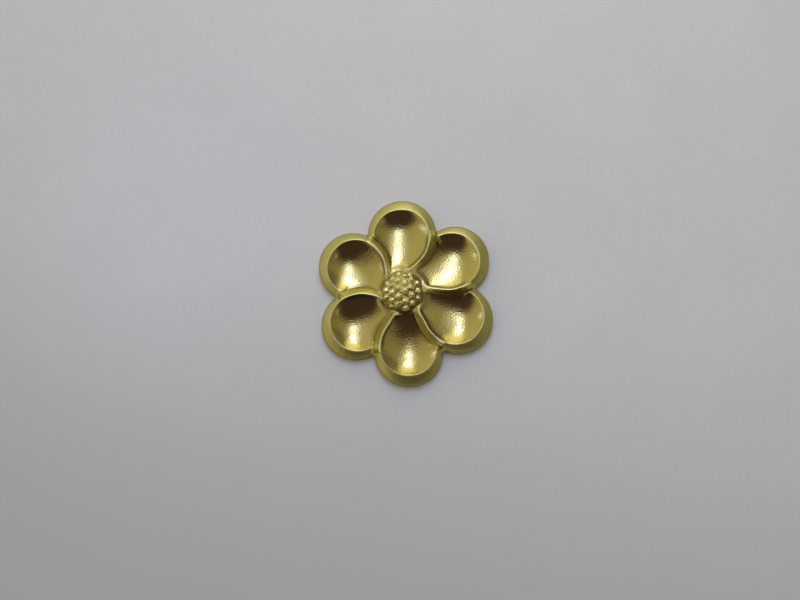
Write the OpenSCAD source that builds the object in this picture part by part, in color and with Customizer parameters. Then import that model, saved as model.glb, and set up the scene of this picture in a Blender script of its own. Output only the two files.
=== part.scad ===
// Flower finding: one struck brass blossom. Six cupped petals lie in a pinwheel, each over the
// next one clockwise, around a dome of round seeds. The back is hollow and stands on its rim.
// Millimetres, +Z up. The origin is the middle of the plane that the rim stands on, and the
// first petal points along +Y. Headings are in degrees, clockwise from +Y seen from above.

/* [Flower] */
// Width from petal tip to opposite petal tip
flower_across = 30; // [20:1:45]
// Thickness of the struck metal, at 30 mm across
metal_thickness = 0.6; // [0.5:0.05:0.7]

/* [Petals] */
// Height of the sharp crest round each bowl
crest_height = 2.2; // [2:0.05:2.6]
// How far the clockwise side of a crest stands above the tip, and the other side below it
petal_tilt = 0.15; // [0:0.05:0.3]
// Height of the lowest point of a bowl
bowl_floor = 0.8; // [0.8:0.05:1.1]
// Radius of curvature of a bowl at its lowest point
bowl_radius = 7.5; // [6.5:0.5:12]
// Height of the petals' upright outer edge
edge_height = 1.1; // [0.6:0.05:1.2]
// Width of the flat land under the edge
rim_land = 0.75; // [0.5:0.05:0.9]

/* [Dome] */
// Radius of the circle where the dome meets the petals
dome_radius = 3.3; // [3.2:0.05:3.4]
// Height of that circle
dome_edge_height = 2.2; // [2.1:0.05:2.4]
// Rise of the bare dome above that circle
dome_rise = 1.65; // [1.2:0.05:2]
// How far the seeds stand out of the dome
seed_relief = 0.38; // [0.2:0.02:0.42]

/* [Hidden] */

// The tables and places below are drawn at this width
drawn_across = 30;
size_factor = flower_across / drawn_across;
petal_count = 6;
petal_step = 360 / petal_count;

// The tip of a petal is an arc, and small round webs fill the notches between the tips
tip_center = [0, 9.5];
tip_radius = 5.5;
web_center_reach = 11.726;
web_radius = 0.4;

// Middle of a bowl, from which the rays of a petal start
bowl_center = [0, 9.2];
// Lowest line of a bowl, which drifts to one side near the dome
trough_offset = -0.3;
trough_drift = 0.045;
bowl_bottom_y = 9.5;
// Lengthwise, a bowl is flatter towards the dome, and bends from one radius to the other here
neck_radius = 15;
bend_length = 5;

// The foot of a petal's lapping side, from the notch in to the dome, in that petal's own frame
// columns: x, y, share of the next petal's floor in the height, the rest being the edge's
side_foot = [
    [5.663, 9.809, 0.00],
    [5.63, 9.19, 0.70],
    [5.58, 8.50, 1.00],
    [5.48, 7.86, 1.00],
    [5.25, 6.54, 1.00],
    [4.69, 5.35, 1.00],
    [3.77, 4.31, 1.00],
    [2.55, 3.40, 1.00],
];
side_end_heading = 31;

// The crest round a bowl, by heading from the bowl's middle
// columns: heading, reach of the rim, share of the crest's height in it
petal_rim = [
    [-172, 5.55, 0.00],
    [-164, 5.95, 0.00],
    [-151, 4.10, 0.00],
    [-135, 3.05, 0.00],
    [-115, 3.08, 0.00],
    [-99, 3.74, 0.05],
    [-92, 4.29, 0.55],
    [-88, 4.48, 0.90],
    [-84, 4.55, 1.00],
    [-62, 4.44, 1.00],
    [-30, 4.31, 1.00],
    [0, 4.14, 1.00],
    [30, 4.19, 1.00],
    [66, 4.32, 1.00],
    [88, 4.43, 1.00],
    [102, 4.50, 1.00],
    [114, 4.60, 1.00],
    [131, 4.82, 1.00],
    [149, 5.11, 1.00],
    [160, 5.50, 1.00],
    [166, 5.72, 0.90],
    [173, 5.60, 0.30],
    [180, 5.35, 0.00],
    [188, 5.50, 0.00],
    [196, 5.95, 0.00],
];
RIM = 1;
CREST_SHARE = 2;

// Smallest width of the shoulder, where the neighbour's side lies over the rim
least_shoulder = 0.22;
// Round the tip the bowl flares up to the crest by this power of the reach
flare_power = 4.5;
// Under the crest of the lapping side stands a steep wall with a shallow moat at its foot
wall_width = 0.6;
wall_power = 1.1;
moat_depth = 0.1;
moat_width = 2.2;
// The wall takes the flare's place over this share of the side's length at the notch
wall_share = 0.4;
// The slope that the shoulder starts with at the crest, as a share of its mean slope, and how it
// rolls over towards the edge: round the tip, then on the lapping side
shoulder_start = 0.74;
shoulder_roll = 3;
flank_start = 0.68;
flank_roll = 8;
// The lapping side's own form fades out over this share of its length at the notch
notch_share = 0.15;
// The floor and the sides sweep up to the dome inside this radius
collar_radius = 4.6;
collar_power = 1.8;
// The dome stands off the middle, and the petals' inner ends move with it inside this radius
dome_shift = [-0.42, 0];
shift_radius = 6.5;

// Rows of points on a ray: shares of the rim's reach, and shares of the shoulder
bowl_shares = [0.35, 0.64, 0.84, 0.93, 1];
shoulder_shares = [0.36, 0.67, 0.87];
back_shares = [0.5, 0.8, 1];

// Steps along a petal's outline, its side, and its piece of the dome's edge
web_steps = 2;
tip_steps = 14;
side_steps = 11;
arc_steps = 5;
dome_steps_per_arc_step = 3;
dome_rows = 14;
back_dome_rows = 3;

// Seeds of the dome, columns: place to the right of and above its middle in plan, radius
seeds = [
    [0.55, -0.15, 0.72],
    [0.50, 1.25, 0.70],
    [1.60, 0.45, 0.68],
    [1.60, -0.80, 0.70],
    [0.55, -1.70, 0.77],
    [-0.75, -2.15, 0.75],
    [-0.70, 0.40, 0.70],
    [-0.65, -0.90, 0.68],
    [-1.75, -0.25, 0.59],
    [-1.75, 0.95, 0.58],
    [-0.60, 1.70, 0.62],
    [-1.45, 2.00, 0.51],
    [0.65, 2.40, 0.58],
    [1.65, 1.80, 0.61],
    [2.55, 1.15, 0.58],
    [2.65, -0.10, 0.60],
    [2.60, -1.25, 0.56],
    [1.60, -2.05, 0.68],
    [0.50, -2.80, 0.75],
    [-1.75, -1.45, 0.60],
    [-2.60, -0.85, 0.54],
    [-2.60, 0.30, 0.51],
    [-2.35, 1.35, 0.50],
    [-0.40, 2.72, 0.51],
    [1.45, 2.62, 0.48],
    [-1.85, -2.25, 0.43],
];
// Towards the foot of the dome the seeds sink in over this angle
seed_fade = 6;

function clamp01(t) = min(1, max(0, t));
function lerp(a, b, t) = a + (b - a) * t;
function smooth_step(t) = let (s = clamp01(t)) s * s * (3 - 2 * s);
function toward(angle) = [sin(angle), cos(angle)];
function heading_of(v) = atan2(v.x, v.y);
function turned(p, angle) = [p.x * cos(angle) + p.y * sin(angle), p.y * cos(angle) - p.x * sin(angle)];

// Cubic between a and b that leaves with slope from_slope and arrives with slope to_slope
function cubic(a, b, from_slope, to_slope, t) =
    let (s = t * t * (3 - 2 * t))
    lerp(a, b, s) + from_slope * t * (1 - t) * (1 - t) - to_slope * t * t * (1 - t);

// Smooth curve through a list of points, t counting the points
function along(points, t) =
    let (
        last = len(points) - 1,
        i = min(floor(t), last - 1),
        before = points[max(i - 1, 0)],
        after = points[min(i + 2, last)],
        a = points[i],
        b = points[i + 1]
    )
    cubic(a, b, (b - before) / 2, (after - a) / 2, t - i);

// Smooth value of a table's column at a key that lies in its first column
function row_below(table, key, i = 0) =
    i >= len(table) - 2 || table[i + 1][0] > key ? i : row_below(table, key, i + 1);
function table_value(table, column, key) =
    let (
        i = row_below(table, key),
        a = table[i],
        b = table[i + 1],
        before = table[max(i - 1, 0)],
        after = table[min(i + 2, len(table) - 1)],
        step = b[0] - a[0]
    )
    cubic(
        a[column], b[column],
        step * (b[column] - before[column]) / (b[0] - before[0]),
        step * (after[column] - a[column]) / (after[0] - a[0]),
        clamp01((key - a[0]) / step)
    );

// Height of a bowl's floor, in the petal's own frame
function floor_height(p) =
    let (
        past_bottom = p.y - bowl_bottom_y,
        trough_x = trough_offset + trough_drift * min(past_bottom, 0),
        aside = p.x - trough_x,
        bend = smooth_step(0.5 + past_bottom / bend_length),
        curvature = lerp(1 / neck_radius, 1 / bowl_radius, bend)
    )
    bowl_floor + aside * aside / (2 * bowl_radius) + past_bottom * past_bottom * curvature / 2;

// Everything sweeps up to the dome's edge
function collared(p, z) =
    let (nearness = clamp01((collar_radius - norm(p)) / (collar_radius - dome_radius)))
    lerp(z, dome_edge_height, pow(nearness, collar_power));

function crest_at(heading) = crest_height + petal_tilt * sin(heading);

// Points of a petal's boundary, each as x, y, height, in the petal's own frame, clockwise
web_center = web_center_reach * toward(petal_step / 2);
tip_end_heading = heading_of(web_center - tip_center);
tip_points = [
    for (i = [1:web_steps])
        let (
            turn = i / (web_steps + 1),
            from = 180 + petal_step / 2,
            to = 180 + tip_end_heading,
            p = web_center + web_radius * toward(lerp(from, to, turn))
        )
        [p.x, p.y, edge_height]
];
web_points_right = [for (i = [len(tip_points) - 1:-1:0]) tip_points[i]];
web_points_left = [for (p = tip_points) [-p.x, p.y, p.z]];
arc_points = [
    for (i = [0:tip_steps])
        let (p = tip_center + tip_radius * toward(lerp(-tip_end_heading, tip_end_heading, i / tip_steps)))
        [p.x, p.y, edge_height]
];
outline_points = concat(web_points_left, arc_points, web_points_right);

side_knots = [for (k = side_foot) [k.x, k.y, k.z]];
side_end = dome_radius * toward(side_end_heading);
side_curve = concat(side_knots, [[side_end.x, side_end.y, 1]]);
side_points = [
    for (i = [0:side_steps])
        let (
            q = along(side_curve, i * (len(side_curve) - 1) / side_steps),
            there = turned(q, -petal_step),
            z = lerp(edge_height, floor_height(there), q.z)
        )
        [q.x, q.y, collared(q, z)]
];
dome_points = [
    for (i = [1:arc_steps - 1])
        let (p = dome_radius * toward(side_end_heading - i * petal_step / arc_steps))
        [p.x, p.y, dome_edge_height]
];
lapped_points = [
    for (i = [side_steps:-1:0])
        let (p = turned(side_points[i], -petal_step))
        [p.x, p.y, side_points[i].z]
];
boundary = concat(outline_points, side_points, dome_points, lapped_points);

outline_count = len(outline_points);
side_count = len(side_points);
own_count = outline_count + side_count + len(dome_points);
ray_count = len(boundary);

// Share of the way from the outline in to the dome at a point of the boundary
function inward(k) =
    k < outline_count ? 0 :
    k < own_count ? min(1, (k - outline_count) / side_steps) :
    (ray_count - 1 - k) / side_steps;
function lapping(k) = k < own_count ? smooth_step(inward(k) / notch_share) : 0;
function walled(k) = k < own_count ? smooth_step(inward(k) / wall_share) : 0;

// A ray from the bowl's middle to a point of the boundary
// members: heading, reach of the rim and of the edge, number of the boundary point
HEADING = 0;
RIM_REACH = 1;
EDGE_REACH = 2;
NUMBER = 3;
function ray(k) =
    let (
        away = [boundary[k].x, boundary[k].y] - bowl_center,
        raw = heading_of(away),
        heading = raw < 0 && k < own_count && k >= outline_count ? raw + 360 : raw,
        edge = norm(away)
    )
    [heading, min(table_value(petal_rim, RIM, heading), edge - least_shoulder), edge, k];
rays = [for (k = [0:ray_count - 1]) ray(k)];

function ray_point(r, reach) = bowl_center + reach * toward(r[HEADING]);
function rim_floor(r) = floor_height(ray_point(r, r[RIM_REACH]));
function rim_share(r) = clamp01(table_value(petal_rim, CREST_SHARE, r[HEADING]));
function rim_height(r) = lerp(rim_floor(r), crest_at(r[HEADING]), rim_share(r));

function raised(p, z) = [p.x, p.y, collared(p, z)];
function bowl_point(r, share) =
    let (
        p = ray_point(r, r[RIM_REACH] * share),
        from_rim = r[RIM_REACH] * (1 - share),
        wall = pow(clamp01(1 - from_rim / wall_width), wall_power),
        moat = smooth_step(1 - from_rim / moat_width) * (1 - wall),
        rim_lift = rim_height(r) - rim_floor(r),
        flared = rim_lift * pow(share, flare_power),
        lapped_over = rim_lift * wall - moat_depth * rim_share(r) * moat,
        rise = lerp(flared, lapped_over, walled(r[NUMBER]))
    )
    raised(p, floor_height(p) + rise);
function shoulder_point(r, share) =
    let (
        p = ray_point(r, lerp(r[RIM_REACH], r[EDGE_REACH], share)),
        foot = boundary[r[NUMBER]],
        start = lerp(shoulder_start, flank_start, lapping(r[NUMBER])),
        roll = lerp(shoulder_roll, flank_roll, lapping(r[NUMBER])),
        fall = lerp(pow(share, roll), share, start),
        shoulder = lerp(rim_height(r), foot.z, fall),
        rim_lift = rim_height(r) - rim_floor(r),
        foot_lift = foot.z - floor_height(foot),
        under_neighbour = floor_height(p) + lerp(rim_lift, foot_lift, fall),
        z = lerp(under_neighbour, shoulder, rim_share(r))
    )
    [p.x, p.y, lerp(collared(p, z), z, share)];

// Back of the metal, one thickness or a little more below the front
function back_edge_height(k) =
    lerp(0, boundary[k].z - 1.2 * metal_thickness, smooth_step(inward(k) / notch_share - 1));
function back_bowl_point(r, share) =
    let (p = bowl_point(r, share))
    [p.x, p.y, p.z - metal_thickness * (1 + 0.4 * pow(share, 4))];
function back_land_point(r) =
    let (
        off_land = smooth_step(inward(r[NUMBER]) / notch_share),
        inset = lerp(rim_land, (r[EDGE_REACH] - r[RIM_REACH]) / 2, off_land),
        p = ray_point(r, r[EDGE_REACH] - inset),
        z = (back_edge_height(r[NUMBER]) + back_bowl_point(r, 1).z) / 2
    )
    [p.x, p.y, off_land * z];

top_rows = concat(
    [for (share = bowl_shares) [for (r = rays) bowl_point(r, share)]],
    [for (share = shoulder_shares) [for (r = rays) shoulder_point(r, share)]]
);
back_rows = concat(
    [for (share = back_shares) [for (r = rays) back_bowl_point(r, share)]],
    [[for (r = rays) back_land_point(r)]]
);
top_edge = [for (k = [0:own_count - 1]) boundary[k]];
back_edge = [for (k = [0:own_count - 1]) [boundary[k].x, boundary[k].y, back_edge_height(k)]];

// A petal's points: the middle, the rows, then the boundary points that are its own
function flattened(rows) = [for (row = rows) for (p = row) p];
function sheet_points(rows, edge, middle_height) =
    concat([[bowl_center.x, bowl_center.y, middle_height]], flattened(rows), edge);
middle_height = floor_height(bowl_center);
top_sheet = sheet_points(top_rows, top_edge, middle_height);
back_sheet = sheet_points(back_rows, back_edge, middle_height - metal_thickness);
petal_points = concat(top_sheet, back_sheet);
petal_stride = len(petal_points);

function shifted(p) =
    let (nearness = smooth_step((shift_radius - norm([p.x, p.y])) / (shift_radius - dome_radius)))
    [p.x + nearness * dome_shift.x, p.y + nearness * dome_shift.y, p.z];
function placed(p, angle) =
    let (q = turned(p, angle))
    [q.x, q.y, p.z];

// Number of a point of petal i in row j on ray k. Row row_count is the boundary, which a petal
// shares with the petal that lies over its anticlockwise side
function point_number(i, k, j, row_count, start) =
    j < row_count ? i * petal_stride + start + 1 + j * ray_count + k :
    k < own_count ? i * petal_stride + start + 1 + row_count * ray_count + k :
    let (before = (i + petal_count - 1) % petal_count, s = ray_count - 1 - k)
    before * petal_stride + start + 1 + row_count * ray_count + outline_count + s;

function sheet_faces(i, row_count, start) = [
    for (k = [0:ray_count - 1])
        let (next = (k + 1) % ray_count)
        each concat(
            [[
                i * petal_stride + start,
                point_number(i, k, 0, row_count, start),
                point_number(i, next, 0, row_count, start)
            ]],
            [
                for (j = [0:row_count - 1])
                    let (
                        a = point_number(i, k, j, row_count, start),
                        b = point_number(i, k, j + 1, row_count, start),
                        c = point_number(i, next, j + 1, row_count, start),
                        d = point_number(i, next, j, row_count, start)
                    )
                    each [[a, b, c], [a, c, d]]
            ]
        )
];
function reversed(face) = [for (i = [len(face) - 1:-1:0]) face[i]];
function top_number(i, k) = point_number(i, k, len(top_rows), len(top_rows), 0);
function back_number(i, k) = point_number(i, k, len(back_rows), len(back_rows), len(top_sheet));
function edge_faces(i) = [
    for (k = [-1:outline_count - 1])
        let (from = (k + ray_count) % ray_count, to = k + 1)
        each [
            [top_number(i, from), back_number(i, from), back_number(i, to)],
            [top_number(i, from), back_number(i, to), top_number(i, to)]
        ]
];

// The dome is a cap of a ball, and each seed is a smaller ball sunk in it
dome_ball = (dome_radius * dome_radius + dome_rise * dome_rise) / (2 * dome_rise);
dome_ball_center_z = dome_edge_height + dome_rise - dome_ball;
dome_edge_angle = asin(dome_radius / dome_ball);
function ball_direction(from_top, heading) =
    [sin(from_top) * sin(heading), sin(from_top) * cos(heading), cos(from_top)];
seed_balls = [
    for (seed = seeds)
        let (height = sqrt(dome_ball * dome_ball - seed.x * seed.x - seed.y * seed.y))
        [[seed.x, seed.y, height], seed.z]
];
function seed_bump(bare, seed) =
    let (away = norm(bare - seed[0]), radius = seed[1])
    away < radius ? sqrt(radius * radius - away * away) - (radius - seed_relief) : 0;
function dome_point(from_top, heading) =
    let (
        direction = ball_direction(from_top, heading),
        bump = max([for (seed = seed_balls) seed_bump(dome_ball * direction, seed)]),
        standing = smooth_step((dome_edge_angle - from_top) / seed_fade),
        q = (dome_ball + standing * max(0, bump)) * direction
    )
    [q.x, q.y, q.z + dome_ball_center_z];

ring_count = petal_count * arc_steps;
dome_ring_count = ring_count * dome_steps_per_arc_step;
dome_grid = [
    for (row = [1:dome_rows - 1])
        for (i = [0:dome_ring_count - 1])
            dome_point(dome_edge_angle * (1 - row / dome_rows), side_end_heading - i * 360 / dome_ring_count)
];
back_dome_grid = [
    for (row = [1:back_dome_rows - 1])
        for (i = [0:ring_count - 1])
            let (
                from_top = dome_edge_angle * (1 - row / back_dome_rows),
                q = (dome_ball - 1.2 * metal_thickness) *
                    ball_direction(from_top, side_end_heading - i * 360 / ring_count)
            )
            [q.x, q.y, q.z + dome_ball_center_z]
];
dome_start = petal_count * petal_stride;
dome_top_number = dome_start + len(dome_grid);
back_dome_start = dome_top_number + 1;
back_dome_top_number = back_dome_start + len(back_dome_grid);
dome_summit = dome_point(0, 0);
unshifted_points = concat(
    [for (i = [0:petal_count - 1]) for (p = petal_points) placed(p, i * petal_step)],
    dome_grid,
    [dome_summit],
    back_dome_grid,
    [[0, 0, dome_ball_center_z + dome_ball - 1.2 * metal_thickness]]
);
all_points = [for (p = unshifted_points) shifted(p)];

// The dome's edge is made of the petals' own points, anticlockwise from the first side's end
first_arc_ray = outline_count + side_count - 1;
function ring_number(i, is_top) =
    let (
        wrapped = i % ring_count,
        petal = (petal_count - floor(wrapped / arc_steps)) % petal_count,
        k = first_arc_ray + wrapped % arc_steps
    )
    is_top ? top_number(petal, k) : back_number(petal, k);
function dome_number(row, i) = dome_start + (row - 1) * dome_ring_count + i % dome_ring_count;
function back_dome_number(row, i) = back_dome_start + (row - 1) * ring_count + i % ring_count;

dome_foot_faces = [
    for (i = [0:ring_count - 1])
        let (
            a = ring_number(i, true),
            b = ring_number(i + 1, true),
            u = [for (s = [0:3]) dome_number(1, dome_steps_per_arc_step * i + s)]
        )
        each [[a, u[0], u[1]], [a, u[1], u[2]], [a, u[2], b], [b, u[2], u[3]]]
];
dome_faces = [
    for (row = [1:dome_rows - 2])
        for (i = [0:dome_ring_count - 1])
            let (
                a = dome_number(row, i),
                b = dome_number(row, i + 1),
                c = dome_number(row + 1, i + 1),
                d = dome_number(row + 1, i)
            )
            each [[a, c, b], [a, d, c]]
];
dome_top_faces = [
    for (i = [0:dome_ring_count - 1])
        [dome_number(dome_rows - 1, i), dome_top_number, dome_number(dome_rows - 1, i + 1)]
];
back_dome_faces = [
    for (i = [0:ring_count - 1])
        let (
            a = ring_number(i, false),
            b = ring_number(i + 1, false),
            c = back_dome_number(1, i + 1),
            d = back_dome_number(1, i),
            e = back_dome_number(2, i + 1),
            f = back_dome_number(2, i)
        )
        each [[a, b, c], [a, c, d], [d, c, e], [d, e, f], [f, e, back_dome_top_number]]
];

all_faces = concat(
    [for (i = [0:petal_count - 1]) each sheet_faces(i, len(top_rows), 0)],
    [for (i = [0:petal_count - 1]) for (face = sheet_faces(i, len(back_rows), len(top_sheet))) reversed(face)],
    [for (i = [0:petal_count - 1]) each edge_faces(i)],
    dome_foot_faces,
    dome_faces,
    dome_top_faces,
    back_dome_faces
);

module flower_stamping() {
    color("goldenrod")
        scale(size_factor)
            polyhedron(points = all_points, faces = all_faces, convexity = 10);
}

flower_stamping();
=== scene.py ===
"""A struck brass flower finding, lying face up on plain pale paper.

The flower is one piece of metal: six cupped petals in a pinwheel, each over the next one
clockwise, round a dome of seeds, with a hollow back. Lengths are in millimetres, drawn at the
width that the frame's own solid has at 30 mm, and the mesh is made in metres at the frame's size.
Headings are in degrees, clockwise from +Y seen from above.
"""

import logging
import math
from collections.abc import Callable
from dataclasses import dataclass, field, fields
from enum import Enum

import bpy
import numpy as np
from mathutils import Matrix, Vector

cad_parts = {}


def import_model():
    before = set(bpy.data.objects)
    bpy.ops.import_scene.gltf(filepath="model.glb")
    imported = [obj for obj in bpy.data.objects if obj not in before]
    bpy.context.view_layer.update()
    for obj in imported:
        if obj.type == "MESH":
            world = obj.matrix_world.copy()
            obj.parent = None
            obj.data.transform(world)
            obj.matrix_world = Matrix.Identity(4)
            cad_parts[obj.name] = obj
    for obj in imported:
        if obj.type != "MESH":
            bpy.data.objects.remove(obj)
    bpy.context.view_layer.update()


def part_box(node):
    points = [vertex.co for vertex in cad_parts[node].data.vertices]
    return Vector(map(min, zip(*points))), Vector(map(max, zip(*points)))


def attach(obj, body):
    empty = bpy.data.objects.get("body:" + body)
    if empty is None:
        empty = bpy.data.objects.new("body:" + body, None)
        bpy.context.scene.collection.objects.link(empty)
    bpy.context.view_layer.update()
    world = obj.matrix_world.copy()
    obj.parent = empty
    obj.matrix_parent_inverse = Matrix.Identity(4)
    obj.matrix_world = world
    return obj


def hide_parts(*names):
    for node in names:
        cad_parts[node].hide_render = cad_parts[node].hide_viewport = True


LOG = logging.getLogger("flower")

NODE = "flower_stamping"
DRAWN_ACROSS = 30.0
# How far apart the grain of two neighbouring petals is taken, in mm
GRAIN_APART = 20.0

Numbers = float | np.ndarray
Socket = bpy.types.NodeSocket
Fed = float | tuple[float, ...] | Vector | Socket
Colour = tuple[float, float, float]


def lerp(a: Numbers, b: Numbers, t: Numbers) -> Numbers:
    """Return the value a share t of the way from a to b."""
    return a + (b - a) * t


def toward(heading: Numbers) -> np.ndarray:
    """Return the unit vectors, in plan, of headings in degrees clockwise from +Y."""
    angle = np.radians(heading)
    return np.stack([np.sin(angle), np.cos(angle)], axis=-1)


def turned(points: np.ndarray, angle: float) -> np.ndarray:
    """Turn points clockwise about the Z axis.

    Args:
        points: x and y first in each row.
        angle: the turn, in degrees.

    Returns:
        The turned points.
    """
    cos, sin = math.cos(math.radians(angle)), math.sin(math.radians(angle))
    out = np.array(points, float)
    out[..., 0] = points[..., 0] * cos + points[..., 1] * sin
    out[..., 1] = points[..., 1] * cos - points[..., 0] * sin
    return out


def cubic(a: Numbers, b: Numbers, from_slope: Numbers, to_slope: Numbers, t: Numbers) -> Numbers:
    """Return the cubic from a to b that has the given slopes at its ends, at shares t."""
    s = t * t * (3 - 2 * t)
    return lerp(a, b, s) + from_slope * t * (1 - t) ** 2 - to_slope * t * t * (1 - t)


def smooth_step(t: Numbers) -> Numbers:
    """Return a share eased at both ends."""
    t = np.clip(t, 0, 1)
    return t * t * (3 - 2 * t)


def beside(distance: np.ndarray, spread: float) -> np.ndarray:
    """Return 1 on a line, falling to 0 beside it, by distances from the line."""
    return np.exp(-((distance / spread) ** 2))


@dataclass(frozen=True)
class SmoothTable:
    """A smooth curve through the rows of a short table.

    Attributes:
        keys: the rising first column.
        values: the other columns, one row for each key.
    """

    keys: np.ndarray
    values: np.ndarray

    def at(self, wanted: np.ndarray) -> np.ndarray:
        """Return the columns' values at the wanted keys.

        Args:
            wanted: keys inside the table's range.

        Returns:
            One row of values for each key.
        """
        last = len(self.keys) - 1
        i = np.clip(np.searchsorted(self.keys, wanted, side="right") - 1, 0, last - 1)
        before, after = np.maximum(i - 1, 0), np.minimum(i + 2, last)
        step = (self.keys[i + 1] - self.keys[i])[:, None]
        a, b = self.values[i], self.values[i + 1]
        from_slope = step * (b - self.values[before]) / (self.keys[i + 1] - self.keys[before])[:, None]
        to_slope = step * (self.values[after] - a) / (self.keys[after] - self.keys[i])[:, None]
        share = np.clip((wanted - self.keys[i])[:, None] / step, 0, 1)
        return cubic(a, b, from_slope, to_slope, share)


class Zone(Enum):
    """The parts of the metal that have a finish of their own."""

    BOWL = 0
    SHOULDER = 1
    SEEDS = 2
    BACK = 3


@dataclass
class Petal:
    """One petal of the pinwheel, in its own frame with its tip along +Y.

    Rays run from the middle of the bowl to the petal's boundary. Each crosses the bowl, the rim
    and the shoulder.
    """

    # The outline: the angle between petals, the tip's arc and the small web in each notch
    step: float = 60.0
    tip_center: tuple[float, float] = (0.0, 9.5)
    tip_radius: float = 5.5
    web_center_reach: float = 11.726
    web_radius: float = 0.4
    # The bowl's floor: a round cup that bends up more slowly in the neck, towards the dome
    bowl_center: tuple[float, float] = (0.0, 9.2)
    bowl_floor: float = 0.8
    bowl_radius: float = 7.5
    bowl_bottom_y: float = 9.5
    neck_radius: float = 15.0
    bend_length: float = 5.0
    trough_offset: float = -0.3
    trough_drift: float = 0.045
    # Heights of the crest, which leans by the tilt, and of the outer edge, and the metal
    crest_height: float = 2.2
    tilt: float = 0.15
    edge_height: float = 1.1
    rim_land: float = 0.75
    metal_thickness: float = 0.6
    back_thickening: float = 0.4
    lap_thickness: float = 1.2
    # The circle where the petal meets the dome, which stands a little to one side
    dome_radius: float = 3.3
    dome_edge_height: float = 2.2
    dome_shift: tuple[float, float] = (-0.42, 0.0)
    shift_radius: float = 6.5
    collar_radius: float = 4.6
    collar_power: float = 1.8
    # The bowl's wall, which flares up to the rim, and stands steeper where it laps
    flare_power: float = 4.5
    wall_width: float = 0.6
    wall_power: float = 1.1
    moat_depth: float = 0.1
    moat_width: float = 2.2
    # The fall from the crest: its first slope and how late it rolls over, at the tip and where
    # it laps, and the roundings
    shoulder_start: float = 0.74
    flank_start: float = 0.68
    shoulder_roll: float = 3.0
    flank_roll: float = 8.0
    least_shoulder: float = 0.22
    crest_rounding: float = 0.11
    crest_roll: float = 0.27
    edge_rounding: float = 0.22
    foot_rounding: float = 0.04
    largest_rounding: float = 0.3
    # Shares of the side, from the notch in, over which it takes its own form
    notch_share: float = 0.15
    wall_share: float = 0.4
    side_end_heading: float = 31.0
    # How finely the boundary is drawn
    web_steps: int = 8
    tip_steps: int = 56
    side_steps: int = 44
    arc_steps: int = 20

    # The foot of the lapping side: x, y, share of the next petal's floor in the height
    side_foot: tuple[tuple[float, float, float], ...] = (
        (5.663, 9.809, 0.00),
        (5.63, 9.19, 0.70),
        (5.58, 8.50, 1.00),
        (5.48, 7.86, 1.00),
        (5.25, 6.54, 1.00),
        (4.69, 5.35, 1.00),
        (3.77, 4.31, 1.00),
        (2.55, 3.40, 1.00),
    )
    # The crest: heading, reach of the rim, share of the crest's height in it
    rim: tuple[tuple[float, float, float], ...] = (
        (-172, 5.55, 0.00),
        (-164, 5.95, 0.00),
        (-151, 4.10, 0.00),
        (-135, 3.05, 0.00),
        (-115, 3.08, 0.00),
        (-99, 3.74, 0.05),
        (-92, 4.29, 0.55),
        (-88, 4.48, 0.90),
        (-84, 4.55, 1.00),
        (-62, 4.44, 1.00),
        (-30, 4.31, 1.00),
        (0, 4.14, 1.00),
        (30, 4.19, 1.00),
        (66, 4.32, 1.00),
        (88, 4.43, 1.00),
        (102, 4.50, 1.00),
        (114, 4.60, 1.00),
        (131, 4.82, 1.00),
        (149, 5.11, 1.00),
        (160, 5.50, 1.00),
        (166, 5.72, 0.90),
        (173, 5.60, 0.30),
        (180, 5.35, 0.00),
        (188, 5.50, 0.00),
        (196, 5.95, 0.00),
    )

    def __post_init__(self) -> None:
        """Work out the boundary and the rays."""
        self.outline = self._outline_points()
        self.side = self._side_points()
        self.arc = self._arc_points()
        lapped = turned(self.side[::-1], -self.step)
        own = np.concatenate([self.outline, self.side, self.arc])
        self.boundary = np.concatenate([own, lapped])
        self.outline_count, self.side_count = len(self.outline), len(self.side)
        self.own_count, self.ray_count = len(own), len(self.boundary)
        along_side = np.linspace(0, 1, self.side_count)
        self.inward = np.concatenate(
            [np.zeros(self.outline_count), along_side, np.ones(len(self.arc)), along_side[::-1]]
        )
        self.flank = smooth_step(self.inward / self.notch_share)
        self.own = (np.arange(self.ray_count) < self.own_count).astype(float)
        self.lapping = self.flank * self.own
        self.walled = smooth_step(self.inward / self.wall_share) * self.own
        self._cast_rays()

    def floor_height(self, p: np.ndarray) -> np.ndarray:
        """Return the height of the bowl's floor.

        Args:
            p: points in plan.

        Returns:
            One height for each point.
        """
        past = p[..., 1] - self.bowl_bottom_y
        trough = self.trough_offset + self.trough_drift * np.minimum(past, 0)
        aside = p[..., 0] - trough
        bend = smooth_step(0.5 + past / self.bend_length)
        curvature = lerp(1 / self.neck_radius, 1 / self.bowl_radius, bend)
        return self.bowl_floor + aside**2 / (2 * self.bowl_radius) + past**2 * curvature / 2

    def collared(self, p: np.ndarray, z: np.ndarray) -> np.ndarray:
        """Sweep heights up to the dome's edge near it.

        Args:
            p: points in plan.
            z: their heights.

        Returns:
            The new heights.
        """
        reach = np.hypot(p[..., 0], p[..., 1])
        near = np.clip((self.collar_radius - reach) / (self.collar_radius - self.dome_radius), 0, 1)
        return lerp(z, self.dome_edge_height, near**self.collar_power)

    def _outline_points(self) -> np.ndarray:
        """Draw the outline from notch to notch over the tip.

        Returns:
            The points, clockwise, without the notches themselves.
        """
        web_center = self.web_center_reach * toward(self.step / 2)
        away = web_center - np.array(self.tip_center)
        tip_end = math.degrees(math.atan2(away[0], away[1]))
        turn = np.arange(1, self.web_steps + 1) / (self.web_steps + 1)
        right = web_center + self.web_radius * toward(lerp(180 + self.step / 2, 180 + tip_end, turn))
        right = right[::-1]
        left = right[::-1] * np.array([-1, 1])
        arc = np.array(self.tip_center) + self.tip_radius * toward(
            np.linspace(-tip_end, tip_end, self.tip_steps + 1)
        )
        plan = np.concatenate([left, arc, right])
        return np.column_stack([plan, np.full(len(plan), self.edge_height)])

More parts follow.
